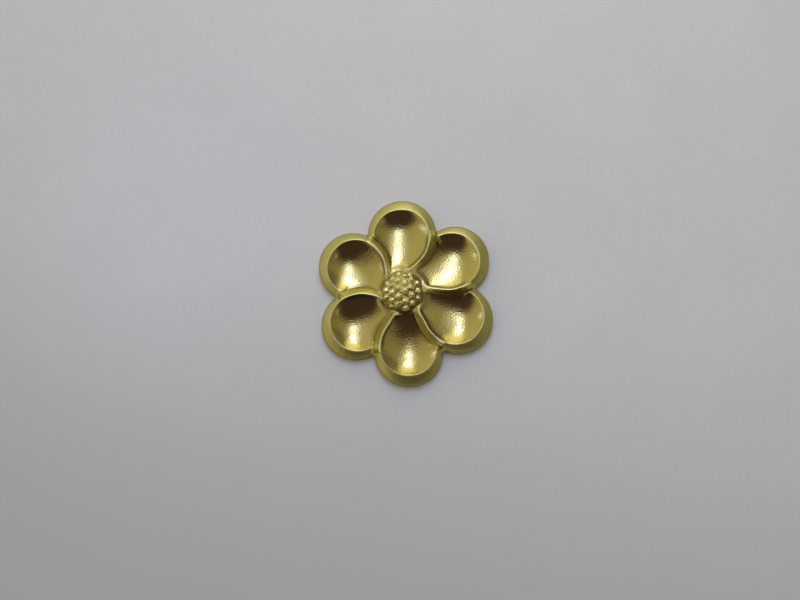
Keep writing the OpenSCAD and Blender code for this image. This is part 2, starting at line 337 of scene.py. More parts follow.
    def _side_points(self) -> np.ndarray:
        """Draw the foot of the lapping side.

        Returns:
            The points, from the notch in to the dome.
        """
        end = self.dome_radius * toward(self.side_end_heading)
        knots = np.array([*self.side_foot, (end[0], end[1], 1.0)])
        curve = SmoothTable(np.arange(len(knots), dtype=float), knots)
        p = curve.at(np.linspace(0, len(knots) - 1, self.side_steps + 1))
        there = turned(p[:, :2], -self.step)
        z = lerp(self.edge_height, self.floor_height(there), p[:, 2])
        return np.column_stack([p[:, :2], self.collared(p, z)])

    def _arc_points(self) -> np.ndarray:
        """Draw the petal's piece of the dome's edge.

        Returns:
            The points, without the piece's ends.
        """
        i = np.arange(1, self.arc_steps)
        plan = self.dome_radius * toward(self.side_end_heading - i * self.step / self.arc_steps)
        return np.column_stack([plan, np.full(len(plan), self.dome_edge_height)])

    def _cast_rays(self) -> None:
        """Work out each ray's heading, its reaches and the heights of its rim and its end."""
        away = self.boundary[:, :2] - np.array(self.bowl_center)
        heading = np.degrees(np.arctan2(away[:, 0], away[:, 1]))
        k = np.arange(self.ray_count)
        past_south = (heading < 0) & (k < self.own_count) & (k >= self.outline_count)
        heading = np.where(past_south, heading + 360, heading)
        table = np.array(self.rim, float)
        rim, share = SmoothTable(table[:, 0], table[:, 1:]).at(heading).T
        self.heading = heading
        self.edge_reach = np.hypot(away[:, 0], away[:, 1])
        self.rim_reach = np.minimum(rim, self.edge_reach - self.least_shoulder)
        self.crest_share = np.clip(share, 0, 1)
        rim_floor = self.floor_height(self.ray_points(self.rim_reach))
        crest = self.crest_height + self.tilt * np.sin(np.radians(heading))
        self.rim_z = lerp(rim_floor, crest, self.crest_share)
        self.rim_lift = self.rim_z - rim_floor
        self.edge_lift = self.boundary[:, 2] - self.floor_height(self.boundary[:, :2])
        shoulder = self.edge_reach - self.rim_reach
        largest = self.largest_rounding * shoulder
        self.crest_inner = np.minimum(self.crest_rounding, largest)
        self.crest_outer = np.minimum(self.crest_roll, largest)
        rounding = lerp(self.edge_rounding, self.foot_rounding, self.lapping)
        self.edge_half = np.minimum(rounding, largest)

    def ray_points(self, reach: np.ndarray) -> np.ndarray:
        """Return the points in plan at the given reach of each ray."""
        return np.array(self.bowl_center) + reach[..., None] * toward(self.heading)

    def profile(self, reach: np.ndarray) -> np.ndarray:
        """Return the front's points at the given reach of each ray, the crest left sharp.

        Args:
            reach: one reach for each ray.

        Returns:
            One x, y, z row for each ray.
        """
        p = self.ray_points(reach)
        flare = np.minimum(reach / self.rim_reach, 1) ** self.flare_power
        inward = self.rim_reach - reach
        wall = np.clip(1 - inward / self.wall_width, 0, 1) ** self.wall_power
        moat = smooth_step(1 - inward / self.moat_width) * (1 - wall)
        on_lap = self.rim_lift * wall - self.moat_depth * self.crest_share * moat
        rise = lerp(self.rim_lift * flare, on_lap, self.walled)
        inside = self.collared(p, self.floor_height(p) + rise)
        share = np.clip((reach - self.rim_reach) / (self.edge_reach - self.rim_reach), 0, 1)
        start = lerp(self.shoulder_start, self.flank_start, self.lapping)
        roll = lerp(self.shoulder_roll, self.flank_roll, self.lapping)
        fall = lerp(share**roll, share, start)
        shoulder = lerp(self.rim_z, self.boundary[:, 2], fall)
        under_neighbour = self.floor_height(p) + lerp(self.rim_lift, self.edge_lift, fall)
        outside = lerp(under_neighbour, shoulder, self.crest_share)
        outside = lerp(self.collared(p, outside), outside, share)
        return np.column_stack([p, np.where(reach <= self.rim_reach, inside, outside)])

    def crest_rounded(self, shares: np.ndarray) -> list[np.ndarray]:
        """Round the crest off.

        Args:
            shares: how far each row is from the wall's side over to the shoulder's.

        Returns:
            One row of points for each share.
        """
        a = self.profile(self.rim_reach - self.crest_inner)
        b = self.profile(self.rim_reach)
        c = self.profile(self.rim_reach + self.crest_outer)
        return [lerp(lerp(a, b, t), lerp(b, c, t), t) for t in shares]

    def edge_rounded(self, shares: np.ndarray) -> list[np.ndarray]:
        """Turn the shoulder down into the upright edge.

        Args:
            shares: how far each row is through the turn.

        Returns:
            One row of points for each share.
        """
        a = self.profile(self.edge_reach - self.edge_half)
        b, c = self.boundary, self.front_boundary()
        return [lerp(lerp(a, b, t), lerp(b, c, t), t) for t in shares]

    def shifted(self, points: np.ndarray) -> np.ndarray:
        """Move the points near the dome aside with it.

        Args:
            points: points of the whole flower.

        Returns:
            The moved points.
        """
        reach = np.hypot(points[:, 0], points[:, 1])
        near = smooth_step((self.shift_radius - reach) / (self.shift_radius - self.dome_radius))
        out = points.copy()
        out[:, :2] += near[:, None] * np.array(self.dome_shift)
        return out

    def front_boundary(self) -> np.ndarray:
        """Lower the boundary where the front rounds over the edge.

        Returns:
            The front's boundary.
        """
        lowered = self.boundary.copy()
        lowered[:, 2] -= self.edge_half * (1 - smooth_step(2 * self.inward / self.notch_share))
        return lowered

    def back_boundary(self, inset: float) -> np.ndarray:
        """Set the boundary in from the edge by the rounding of its foot.

        Args:
            inset: how far it is set in.

        Returns:
            The back's boundary.
        """
        on_land = 1 - smooth_step(self.inward / self.notch_share - 1)
        z = lerp(self.boundary[:, 2] - self.lap_thickness * self.metal_thickness, 0, on_land)
        outside = 1 - smooth_step(2 * self.inward / self.notch_share)
        return np.column_stack([self.ray_points(self.edge_reach - inset * outside), z])

    def back_rows(self) -> tuple[list[np.ndarray], list[np.ndarray]]:
        """Draw the hollow back, which follows the front and ends in a flat land.

        Returns:
            The rows of points, from the middle out, and their reaches.
        """
        reaches = [self.rim_reach * s for s in np.arange(1, 10) / 9]
        rows = []
        for reach in reaches:
            row = self.profile(reach)
            thicker = self.back_thickening * (reach / self.rim_reach) ** 4
            row[:, 2] -= self.metal_thickness * (1 + thicker)
            rows.append(row)
        rim, edge = rows[-1], self.back_boundary(0)
        on_land = 1 - smooth_step(self.inward / self.notch_share)
        inset = lerp((self.edge_reach - self.rim_reach) / 2, self.rim_land, on_land)
        land_reach = self.edge_reach - inset
        land_z = lerp((edge[:, 2] + rim[:, 2]) / 2, 0, on_land)
        land = np.column_stack([self.ray_points(land_reach), land_z])
        for s in np.arange(1, 4) / 3:
            reaches.append(lerp(self.rim_reach, land_reach, s))
            rows.append(lerp(rim, land, s))
        return rows, reaches


@dataclass
class SeededDome:
    """The dome in the middle: a cap of a ball with smaller balls, the seeds, sunk in it.

    Attributes:
        radius: the dome's radius in plan.
        edge_height: the height of its edge.
        rise: how far its top stands above its edge.
        seed_relief: how far the seeds stand out.
        seed_fade: the angle from the edge over which they rise.
        rows: how many rows of points the front has.
        back_rows: how many the hollow behind has.
        back_thickness: the metal's thickness there, as a share of the petals'.
    """

    radius: float = 3.3
    edge_height: float = 2.2
    rise: float = 1.65
    seed_relief: float = 0.38
    seed_fade: float = 6.0
    rows: int = 50
    back_rows: int = 12
    back_thickness: float = 1.2
    # Seeds: place to the right of and above the dome's middle in plan, radius
    seeds: tuple[tuple[float, float, float], ...] = (
        (0.55, -0.15, 0.72),
        (0.50, 1.25, 0.70),
        (1.60, 0.45, 0.68),
        (1.60, -0.80, 0.70),
        (0.55, -1.70, 0.77),
        (-0.75, -2.15, 0.75),
        (-0.70, 0.40, 0.70),
        (-0.65, -0.90, 0.68),
        (-1.75, -0.25, 0.59),
        (-1.75, 0.95, 0.58),
        (-0.60, 1.70, 0.62),
        (-1.45, 2.00, 0.51),
        (0.65, 2.40, 0.58),
        (1.65, 1.80, 0.61),
        (2.55, 1.15, 0.58),
        (2.65, -0.10, 0.60),
        (2.60, -1.25, 0.56),
        (1.60, -2.05, 0.68),
        (0.50, -2.80, 0.75),
        (-1.75, -1.45, 0.60),
        (-2.60, -0.85, 0.54),
        (-2.60, 0.30, 0.51),
        (-2.35, 1.35, 0.50),
        (-0.40, 2.72, 0.51),
        (1.45, 2.62, 0.48),
        (-1.85, -2.25, 0.43),
    )

    def __post_init__(self) -> None:
        """Work out the ball and the places of the seeds on it."""
        self.ball = (self.radius**2 + self.rise**2) / (2 * self.rise)
        self.center_z = self.edge_height + self.rise - self.ball
        self.edge_angle = math.degrees(math.asin(self.radius / self.ball))
        plan, self.seed_radii = np.array(self.seeds)[:, :2], np.array(self.seeds)[:, 2]
        height = np.sqrt(self.ball**2 - (plan**2).sum(axis=1))
        self.seed_places = np.column_stack([plan, height])

    @staticmethod
    def direction(from_top: Numbers, heading: Numbers) -> np.ndarray:
        """Return unit vectors from the ball's middle, by angle from the top and heading."""
        top, round_ = np.radians(from_top), np.radians(heading)
        return np.stack([np.sin(top) * np.sin(round_), np.sin(top) * np.cos(round_), np.cos(top)], -1)

    def surface(self, from_top: np.ndarray, heading: np.ndarray) -> tuple[np.ndarray, np.ndarray]:
        """Return points of the dome with its seeds.

        Args:
            from_top: angles from the top.
            heading: headings, as many.

        Returns:
            The points, and how far each stands out of the bare dome.
        """
        way = self.direction(from_top, heading)
        away = np.linalg.norm(self.ball * way[:, None, :] - self.seed_places[None], axis=-1)
        under = np.clip(self.seed_radii**2 - away**2, 0, None)
        bump = np.where(under > 0, np.sqrt(under) - (self.seed_radii - self.seed_relief), 0)
        standing = smooth_step((self.edge_angle - from_top) / self.seed_fade)
        bump = standing * np.clip(bump.max(axis=1), 0, None)
        points = (self.ball + bump)[:, None] * way
        points[:, 2] += self.center_z
        return points, bump


@dataclass
class Facts:
    """What the finishes read at each point of the metal.

    Attributes:
        crest: 1 on a crest or on top of a seed, falling to 0 beside it; a painted highlight.
        painted_shade: 1 where shade is painted, as in a groove or hollow, falling to 0 beside it.
        flank: 1 on the lapping side, 0 round the tip.
        satin: 1 where the metal is brushed, 0 where it is polished.
        place: where the point lies in the grain, in millimetres: two values round the bowl, then
            one across it.
    """

    crest: np.ndarray
    painted_shade: np.ndarray
    flank: np.ndarray
    satin: np.ndarray
    place: np.ndarray

    @classmethod
    def plain(cls, points: np.ndarray, crest: Numbers = 0.0, painted_shade: Numbers = 0.0) -> "Facts":
        """Return facts for points away from the petals' rays, placed in the grain as they lie."""
        full = np.ones(len(points))
        return cls(full * crest, full * painted_shade, full * 0, full * 0, np.array(points, float))

    def of(self, chosen: slice) -> "Facts":
        """Return the facts of the chosen points."""
        return Facts(*(getattr(self, f.name)[chosen] for f in fields(self)))


class Mesher:
    """Collects points with their facts, and faces with the zone of each."""

    def __init__(self) -> None:
        """Start with nothing."""
        self.points: list[np.ndarray] = []
        self.facts: list[Facts] = []
        self.count = 0
        self.quads: list[np.ndarray] = []
        self.quad_zones: list[np.ndarray] = []
        self.triangles: list[np.ndarray] = []
        self.triangle_zones: list[np.ndarray] = []
        self.creased: list[np.ndarray] = []

    def add_points(self, points: np.ndarray, facts: Facts) -> np.ndarray:
        """Add points.

        Args:
            points: one x, y, z row for each.
            facts: what the finishes read at them.

        Returns:
            The points' numbers.
        """
        self.points.append(points)
        self.facts.append(facts)
        numbers = np.arange(self.count, self.count + len(points))
        self.count += len(points)
        return numbers

    def add_strip(
        self, inner: np.ndarray, outer: np.ndarray, zone: Zone | np.ndarray, faces_up: bool = True
    ) -> None:
        """Join two closed rows of points, both clockwise from above, by quads.

        Args:
            inner: the numbers of the inner row.
            outer: the numbers of the outer row, or of the lower one on an upright edge.
            zone: the finish of the new faces, or the zone number of each.
            faces_up: whether the faces look up or outward, as the front does.
        """
        quads = np.column_stack([inner, np.roll(inner, -1), np.roll(outer, -1), outer])
        self.quads.append(quads if faces_up else quads[:, ::-1])
        numbers = zone.value if isinstance(zone, Zone) else zone
        self.quad_zones.append(np.broadcast_to(numbers, len(quads)))

    def add_triangles(self, triangles: np.ndarray, zone: Zone, faces_up: bool = True) -> None:
        """Add triangles that look up, or turned over."""
        self.triangles.append(triangles if faces_up else triangles[:, ::-1])
        self.triangle_zones.append(np.full(len(triangles), zone.value))

    def add_fan(self, middle: int, row: np.ndarray, zone: Zone, faces_up: bool = True) -> None:
        """Join one point to a closed row round it, clockwise from above."""
        fan = np.column_stack([np.full(len(row), middle), np.roll(row, -1), row])
        self.add_triangles(fan, zone, faces_up)

    def add_graded_strip(self, fine: np.ndarray, coarse: np.ndarray, zone: Zone) -> None:
        """Join an inner row to an outer row that has a third of its points.

        Args:
            fine: the numbers of the inner row, clockwise from above.
            coarse: the numbers of the outer row.
            zone: the finish of the new faces.
        """
        after = np.roll(coarse, -1)
        a, b, c, d = fine[0::3], fine[1::3], fine[2::3], np.roll(fine[0::3], -1)
        for corners in ((coarse, a, b), (coarse, b, c), (coarse, c, after), (after, c, d)):
            self.add_triangles(np.column_stack(corners), zone)

    def mesh(self, name: str, shape: Callable[[np.ndarray], np.ndarray]) -> bpy.types.Mesh:
        """Return a Blender mesh of everything collected.

        Args:
            name: the mesh's name.
            shape: turns the collected points into metres.

        Returns:
            The mesh, with the facts as attributes and the zones as material numbers.
        """
        quads, triangles = np.concatenate(self.quads), np.concatenate(self.triangles)
        points = shape(np.concatenate(self.points))
        corners = np.concatenate([quads.ravel(), triangles.ravel()])
        sizes = np.concatenate([np.full(len(quads), 4), np.full(len(triangles), 3)])
        starts = np.concatenate([[0], np.cumsum(sizes)[:-1]])
        zones = np.concatenate(self.quad_zones + self.triangle_zones)
        mesh = bpy.data.meshes.new(name)
        mesh.vertices.add(len(points))
        mesh.vertices.foreach_set("co", points.astype(np.float32).ravel())
        mesh.loops.add(len(corners))
        mesh.loops.foreach_set("vertex_index", corners.astype(np.int32))
        mesh.polygons.add(len(sizes))
        mesh.polygons.foreach_set("loop_start", starts.astype(np.int32))
        mesh.polygons.foreach_set("material_index", zones.astype(np.int32))
        mesh.polygons.foreach_set("use_smooth", np.ones(len(sizes), bool))
        for fact in ("crest", "painted_shade", "flank", "satin"):
            values = np.concatenate([getattr(facts, fact) for facts in self.facts])
            attribute = mesh.attributes.new(fact, "FLOAT", "POINT")
            attribute.data.foreach_set("value", values.astype(np.float32))
        places = np.concatenate([facts.place for facts in self.facts])
        attribute = mesh.attributes.new("place", "FLOAT_VECTOR", "POINT")
        attribute.data.foreach_set("vector", places.astype(np.float32).ravel())
        mesh.update(calc_edges=True)
        creased = np.zeros(len(points), bool)
        creased[np.concatenate(self.creased)] = True
        ends = np.empty(2 * len(mesh.edges), np.int32)
        mesh.edges.foreach_get("vertices", ends)
        sharp = mesh.attributes.new("sharp_edge", "BOOLEAN", "EDGE")
        sharp.data.foreach_set("value", creased[ends].reshape(-1, 2).all(axis=1))
        return mesh


@dataclass
class StruckFlower:
    """The whole piece of metal: the petals, the seeded dome, the edge and the hollow back."""

    petal: Petal = field(default_factory=Petal)
    dome: SeededDome = field(default_factory=SeededDome)
    petals: int = 6
    # How finely the front is drawn, closer together towards the rim
    bowl_rows: int = 32
    bowl_crowding: float = 1.6
    crest_rows: int = 7
    shoulder_rows: int = 10
    edge_rows: int = 4
    # Rubbed lines with a painted highlight: on the crest, and along the foot of the lapping side
    crest_spread: float = 0.15
    foot_inset: float = 0.1
    foot_spread: float = 0.08
    foot_highlight: float = 0.7
    # Painted shade in the groove under the lapping side, less on the petal that laps
    groove_spread: float = 0.55
    groove_share: float = 0.7
    lap_shade_cut: float = 0.6
    # Painted shade in a band inside the crest and in a line outside it
    band_inset: float = 0.34
    band_spread: float = 0.27
    line_outset: float = 0.21
    line_spread: float = 0.08
    line_shade: float = 0.9
    # Painted shade along the outer edge and round the dome
    rim_spread: float = 0.22
    rim_share: float = 0.75
    dome_spread: float = 0.8
    dome_share: float = 0.55
    # Painted shade on the lapping side, which starts below the crest, and more of it near the notch
    flank_below: float = 0.1
    flank_fade: float = 0.2
    flank_shade: float = 0.9
    notch_shade: float = 0.8
    notch_start: float = 0.4
    notch_end: float = 0.5
    notch_reach: float = 0.4
    # Painted shade between the seeds, and how much of it there is on top of the dome
    seed_side: float = 0.5
    seed_top: float = 0.6
    top_shade: float = 0.6
    dome_shade_fade: float = 0.5
    # The brushed grain, which is faint on the lapping side
    inner_flank: float = 0.5
    inner_fade: float = 1.2
    flank_satin: float = 0.1
    grain_reach: float = 4.0
    # The rounding at the foot of the upright edge, and the share of it in one more row
    foot_rounding: float = 0.07
    foot_row: float = 0.25

    def build(self, scale: float) -> bpy.types.Object:
        """Build the piece and link it to the scene.

        Args:
            scale: metres for each unit of the drawing.

        Returns:
            The new object, without materials.
        """
        mesher = Mesher()
        front = self._boundary_numbers(mesher, self.petal.front_boundary())
        back = self._boundary_numbers(mesher, self.petal.back_boundary(self.foot_rounding))
        inner_side = self.petal.outline_count + np.arange(3, self.petal.side_count - 1)
        mesher.creased = [boundary[inner_side] for boundary in front]
        for i in range(self.petals):
            self._add_front(mesher, i, front)
            self._add_back(mesher, i, back)
        self._add_edge(mesher, front, back)
        self._add_dome(mesher, front)
        self._add_back_dome(mesher, back)
        mesh = mesher.mesh("struck_flower", lambda points: scale * self.petal.shifted(points))
        piece = bpy.data.objects.new("flower_stamping_struck", mesh)
        bpy.context.collection.objects.link(piece)
        return piece

    def _facts(self, reach: np.ndarray, turn: float) -> Facts:
        """Return the facts of one row of a petal's points.

        Args:
            reach: one reach for each ray.
            turn: the petal's own angle.

        Returns:
            The facts of the row's points.
        """
        p = self.petal
        from_crest, from_edge = reach - p.rim_reach, p.edge_reach - reach
        # Painted highlight: the rubbed colour on the crest and in a line along the lapping side's foot
        foot = beside(from_edge - self.foot_inset, self.foot_spread) * p.walled
        crest = np.maximum(beside(from_crest, self.crest_spread), self.foot_highlight * foot)
        across = from_crest + GRAIN_APART * turn / p.step
        place = np.column_stack([self.grain_reach * toward(p.heading + turn), across])
        inner = smooth_step(from_crest / self.inner_flank + self.inner_fade)
        inner = self.flank_satin * p.lapping * inner
        outer = lerp(1.0, self.flank_satin, p.lapping)
        satin = np.where(from_crest > 0, outer, inner) * smooth_step(p.crest_share)
        # Where shade is painted: grooves, the band by the crest, the lapping side, the outer edge,
        # round the dome
        painted_shade = self._shade_shares(reach, from_crest, from_edge)
        return Facts(crest * p.crest_share, painted_shade, p.lapping, satin, place)

    def _shade_shares(self, reach: np.ndarray, from_crest: np.ndarray, from_edge: np.ndarray) -> np.ndarray:
        """Return how much shade is painted at one row of a petal's points.

        Args:
            reach: one reach for each ray.
            from_crest: how far each point is outside the crest.
            from_edge: how far it is inside the edge.

        Returns:
            One share for each ray.
        """
        p = self.petal
        # Painted shade in the crease at the foot of the lapping side
        groove = beside(from_edge, self.groove_spread) * (p.flank - self.lap_shade_cut * p.lapping)
        # Painted shade along the outer edge and round the foot of the dome
        rim = beside(from_edge, self.rim_spread) * (1 - p.flank)
        plan = p.ray_points(reach)
        near_dome = beside(np.hypot(plan[:, 0], plan[:, 1]) - p.dome_radius, self.dome_spread)
        # Painted shade: a band inside the crest and a line outside it
        band = beside(from_crest + self.band_inset, self.band_spread)
        line = beside(from_crest - self.line_outset, self.line_spread)
        band = np.maximum(band, self.line_shade * line) * p.walled * p.crest_share
        # Painted shade on the lapping side and near the notch
        past_notch = p.inward / self.notch_reach
        ending = smooth_step((past_notch - self.notch_end) / (1 - self.notch_end))
        notch = smooth_step(past_notch / self.notch_start) * (1 - ending) * p.own
        below = smooth_step((from_crest - self.flank_below) / self.flank_fade)
        shaded_flank = below * np.maximum(self.flank_shade * p.lapping, self.notch_shade * notch)
        parts = [
            band,
            shaded_flank,
            self.groove_share * groove,
            self.dome_share * near_dome,
            self.rim_share * rim,
        ]
        return np.maximum.reduce(parts)

    def _add_row(self, mesher: Mesher, points: np.ndarray, reach: np.ndarray, i: int) -> np.ndarray:
        """Add one row of petal i's points and return their numbers."""
        turn = i * self.petal.step
        return mesher.add_points(turned(points, turn), self._facts(reach, turn))

    def _add_middle(self, mesher: Mesher, i: int, below: float) -> int:
        """Add the point in the middle of a petal's bowl.

        Args:
            mesher: what collects the points.
            i: the petal.
            below: how far the point is under the bowl's floor.

        Returns:
            The point's number.
        """
        p = self.petal
        height = float(p.floor_height(np.array(p.bowl_center))) - below
        point = np.array([[*p.bowl_center, height]])
        return mesher.add_points(turned(point, i * p.step), Facts.plain(point))[0]

    def _boundary_numbers(self, mesher: Mesher, boundary: np.ndarray) -> list[np.ndarray]:
        """Add the boundary points that each petal owns.

        Args:
            mesher: what collects the points.
            boundary: the boundary of the first petal.

        Returns:
            The numbers of each petal's whole boundary.
        """
        p = self.petal
        own = []
        for i in range(self.petals):
            facts = self._facts(p.edge_reach, i * p.step)
            mine = slice(0, p.own_count)
            own.append(mesher.add_points(turned(boundary[mine], i * p.step), facts.of(mine)))
        lapped = slice(p.outline_count, p.outline_count + p.side_count)
        return [np.concatenate([own[i], own[i - 1][lapped][::-1]]) for i in range(self.petals)]

    def _add_front(self, mesher: Mesher, i: int, front: list[np.ndarray]) -> None:
        """Add the front of one petal: bowl, crest and shoulder.

        Args:
            mesher: what collects the points and faces.
            i: the petal.
            front: the numbers of each petal's boundary.
        """
        p = self.petal
        crest_start, crest_end = p.rim_reach - p.crest_inner, p.rim_reach + p.crest_outer
        shares = 1 - (1 - np.arange(1, self.bowl_rows) / self.bowl_rows) ** self.bowl_crowding
        reaches = [crest_start * s for s in shares]
        rows = [p.profile(reach) for reach in reaches]
        shoulder = np.where(p.crest_share > 0.5, Zone.SHOULDER.value, Zone.BOWL.value)
        zones = [Zone.BOWL] * len(rows)
        shares = np.linspace(0, 1, self.crest_rows)
        rows += p.crest_rounded(shares)
        reaches += [lerp(crest_start, crest_end, s) for s in shares]
        zones += [Zone.BOWL if s <= 0.5 else shoulder for s in shares]
        edge_start = p.edge_reach - p.edge_half
        for s in np.arange(1, self.shoulder_rows) / self.shoulder_rows:
            reaches.append(lerp(crest_end, edge_start, s))
            rows.append(p.profile(reaches[-1]))
            zones.append(shoulder)
        shares = np.arange(self.edge_rows) / self.edge_rows
        rows += p.edge_rounded(shares)
        reaches += [lerp(edge_start, p.edge_reach, s) for s in shares]
        zones += [shoulder] * len(shares)
        middle = self._add_middle(mesher, i, 0.0)
        numbers = [self._add_row(mesher, row, reach, i) for row, reach in zip(rows, reaches)]
        mesher.add_fan(middle, numbers[0], Zone.BOWL)
        for inner, outer, zone in zip(numbers, numbers[1:] + [front[i]], zones):
            mesher.add_strip(inner, outer, zone)

    def _add_back(self, mesher: Mesher, i: int, back: list[np.ndarray]) -> None:
        """Add the hollow back of one petal.

        Args:
            mesher: what collects the points and faces.
            i: the petal.
            back: the numbers of each petal's boundary behind.
        """
        rows, reaches = self.petal.back_rows()
        middle = self._add_middle(mesher, i, self.petal.metal_thickness)
        numbers = [self._add_row(mesher, row, reach, i) for row, reach in zip(rows, reaches)]
        mesher.add_fan(middle, numbers[0], Zone.BACK, faces_up=False)
        for inner, outer in zip(numbers, numbers[1:] + [back[i]]):
            mesher.add_strip(inner, outer, Zone.BACK, faces_up=False)

    def _add_edge(self, mesher: Mesher, front: list[np.ndarray], back: list[np.ndarray]) -> None:
        """Add the upright edge between the front and the back, all round the flower.

        Args:
            mesher: what collects the points and faces.
            front: the numbers of each petal's boundary.
            back: the same behind.
        """
        p, foot, row = self.petal, self.foot_rounding, self.foot_row * self.foot_rounding
        loop = np.concatenate([[p.ray_count - 1], np.arange(p.outline_count)])
        rings = [np.concatenate([row[loop] for row in front])]
        for height, inset in ((foot, 0.0), (row, row)):
            reach = p.edge_reach - inset
            ring = np.column_stack([p.ray_points(reach), np.full(p.ray_count, height)])
            pieces = [self._add_row(mesher, ring, reach, i)[loop] for i in range(self.petals)]
            rings.append(np.concatenate(pieces))
        rings.append(np.concatenate([row[loop] for row in back]))
        for upper, lower in zip(rings, rings[1:]):
            mesher.add_strip(upper, lower, Zone.SHOULDER)

    def _dome_ring(self, boundary: list[np.ndarray]) -> np.ndarray:
        """Find the circle where the dome meets the petals.

        Args:
            boundary: the numbers of each petal's boundary.

        Returns:
            The circle's numbers, clockwise.
        """
        p = self.petal
        arc = slice(p.outline_count + p.side_count - 1, p.own_count)
        anticlockwise = [boundary[i % self.petals][arc] for i in range(self.petals, 0, -1)]
        return np.concatenate(anticlockwise)[::-1]

    def _add_dome(self, mesher: Mesher, front: list[np.ndarray]) -> None:
        """Add the seeded dome inside its circle.

        Args:
            mesher: what collects the points and faces.
            front: the numbers of each petal's boundary.
        """
        p, dome = self.petal, self.dome
        ring = self._dome_ring(front)
        around = 3 * len(ring)
        first = p.side_end_heading + p.step / p.arc_steps
        headings = first + np.arange(around) * 360 / around
        last, zone = None, Zone.SEEDS
        for row in range(1, dome.rows):
            from_top = np.full(around, dome.edge_angle * (1 - row / dome.rows))
            points, bump = dome.surface(from_top, headings)
            numbers = mesher.add_points(points, self._seed_facts(points, bump))
            if last is None:
                mesher.add_graded_strip(numbers, ring, zone)
            else:
                mesher.add_strip(numbers, last, zone)
            last = numbers
        points, bump = dome.surface(np.zeros(1), np.zeros(1))
        summit = mesher.add_points(points, self._seed_facts(points, bump))[0]
        mesher.add_fan(summit, last, zone)

    def _seed_facts(self, points: np.ndarray, bump: np.ndarray) -> Facts:
        """Return the facts of points of the dome.

        Args:
            points: the points.
            bump: how far each stands out of the bare dome.

        Returns:
            Their facts.
        """
        out = bump / self.dome.seed_relief
        # Painted shade in the gaps between the seeds, less on top of the dome
        above_edge = (points[:, 2] - self.dome.edge_height) / self.dome.rise
        left = lerp(1.0, self.top_shade, smooth_step(above_edge / self.dome_shade_fade))
        gaps = (1 - smooth_step(out / self.seed_side)) * left
        return Facts.plain(points, smooth_step((out - self.seed_top) / (1 - self.seed_top)), gaps)

    def _add_back_dome(self, mesher: Mesher, back: list[np.ndarray]) -> None:
        """Add the smooth hollow behind the dome.

        Args:
            mesher: what collects the points and faces.
            back: the numbers of each petal's boundary behind.
        """
        p, dome = self.petal, self.dome
        ring = self._dome_ring(back)
        first = p.side_end_heading + p.step / p.arc_steps
        headings = first + np.arange(len(ring)) * 360 / len(ring)
        inner_ball = dome.ball - dome.back_thickness * p.metal_thickness
        last = ring
        for row in range(1, dome.back_rows):
            from_top = np.full(len(ring), dome.edge_angle * (1 - row / dome.back_rows))
            way = dome.direction(from_top, headings)
            points = inner_ball * way + np.array([0, 0, dome.center_z])
            numbers = mesher.add_points(points, Facts.plain(points))
            mesher.add_strip(numbers, last, Zone.BACK, faces_up=False)
            last = numbers
        top = np.array([[0, 0, dome.center_z + inner_ball]])
        summit = mesher.add_points(top, Facts.plain(top))[0]
        mesher.add_fan(summit, last, Zone.BACK, faces_up=False)


def rgba(colour: Colour) -> tuple[float, float, float, float]:
    """Return a colour with full opacity."""
    return (*colour, 1.0)


class Wiring:
    """Adds nodes to one node tree and links them."""

    def __init__(self, tree: bpy.types.NodeTree) -> None:
        """Start in a tree."""
        self.tree = tree

    def add(self, kind: str, inputs: dict | None = None, **settings: object) -> bpy.types.Node:
        """Add a node.

        Args:
            kind: the node's type name.
            inputs: a value or a socket for each named or numbered input.
            settings: the node's own settings.

        Returns:
            The new node.
        """
        node = self.tree.nodes.new(kind)
        for name, value in settings.items():
            setattr(node, name, value)
        for key, value in (inputs or {}).items():
            self.feed(node.inputs[key], value)
        return node

    def feed(self, socket: Socket, value: Fed) -> None:
        """Link an output to an input, or set the input's value.

        Args:
            socket: the input.
            value: the output or the value.
        """
        if isinstance(value, Socket):
            self.tree.links.new(value, socket)
        else:
            socket.default_value = value

    def math(self, operation: str, *values: Fed, clamp: bool = False) -> Socket:
        """Add a math node on numbers or sockets and return its output."""
        inputs = dict(enumerate(values))
        return self.add("ShaderNodeMath", inputs, operation=operation, use_clamp=clamp).outputs[0]

    def ramp(self, value: Fed, low: Fed, high: Fed, to_low: Fed = 0.0, to_high: Fed = 1.0) -> Socket:
        """Map a range of values smoothly onto another and return the output."""
        inputs = {0: value, 1: low, 2: high, 3: to_low, 4: to_high}
        return self.add("ShaderNodeMapRange", inputs, interpolation_type="SMOOTHSTEP").outputs[0]

    def mix(self, share: Fed, a: Fed, b: Fed) -> Socket:
        """Mix two colours by a share and return the output."""
        inputs = {0: share, 6: a, 7: b}
        return self.add("ShaderNodeMix", inputs, data_type="RGBA").outputs[2]

    def fact(self, name: str) -> bpy.types.Node:
        """Read one of the mesh's facts."""
        return self.add("ShaderNodeAttribute", attribute_name=name)

    def noise(self, vector: Socket, scale: Fed, detail: float, roughness: float = 0.5) -> Socket:
        """Add a noise texture and return its value."""
        inputs = {"Vector": vector, "Scale": scale, "Detail": detail, "Roughness": roughness}
        return self.add("ShaderNodeTexNoise", inputs).outputs["Fac"]


def new_group(
    name: str, inputs: dict[str, tuple], outputs: dict[str, str]
) -> tuple[Wiring, bpy.types.Node, bpy.types.Node]:
    """Start a shader node group.

    Args:
        name: the group's name.
        inputs: socket kind and first value by name.
        outputs: socket kind by name.

    Returns:
        The group's wiring, its input node and its output node.
    """
    tree = bpy.data.node_groups.new(name, "ShaderNodeTree")
    for label, (kind, value) in inputs.items():
        tree.interface.new_socket(label, in_out="INPUT", socket_type=kind).default_value = value
    for label, kind in outputs.items():
        tree.interface.new_socket(label, in_out="OUTPUT", socket_type=kind)
    wiring = Wiring(tree)
    return wiring, wiring.add("NodeGroupInput"), wiring.add("NodeGroupOutput")


FLOAT, COLOUR = "NodeSocketFloat", "NodeSocketColor"

# Grooves along the lapping side: reach outside the crest and width in mm, then depth in streaks
SIDE_GROOVES = ((0.2, 0.06, 4.0), (0.45, 0.07, 5.0), (0.7, 0.06, 4.6))


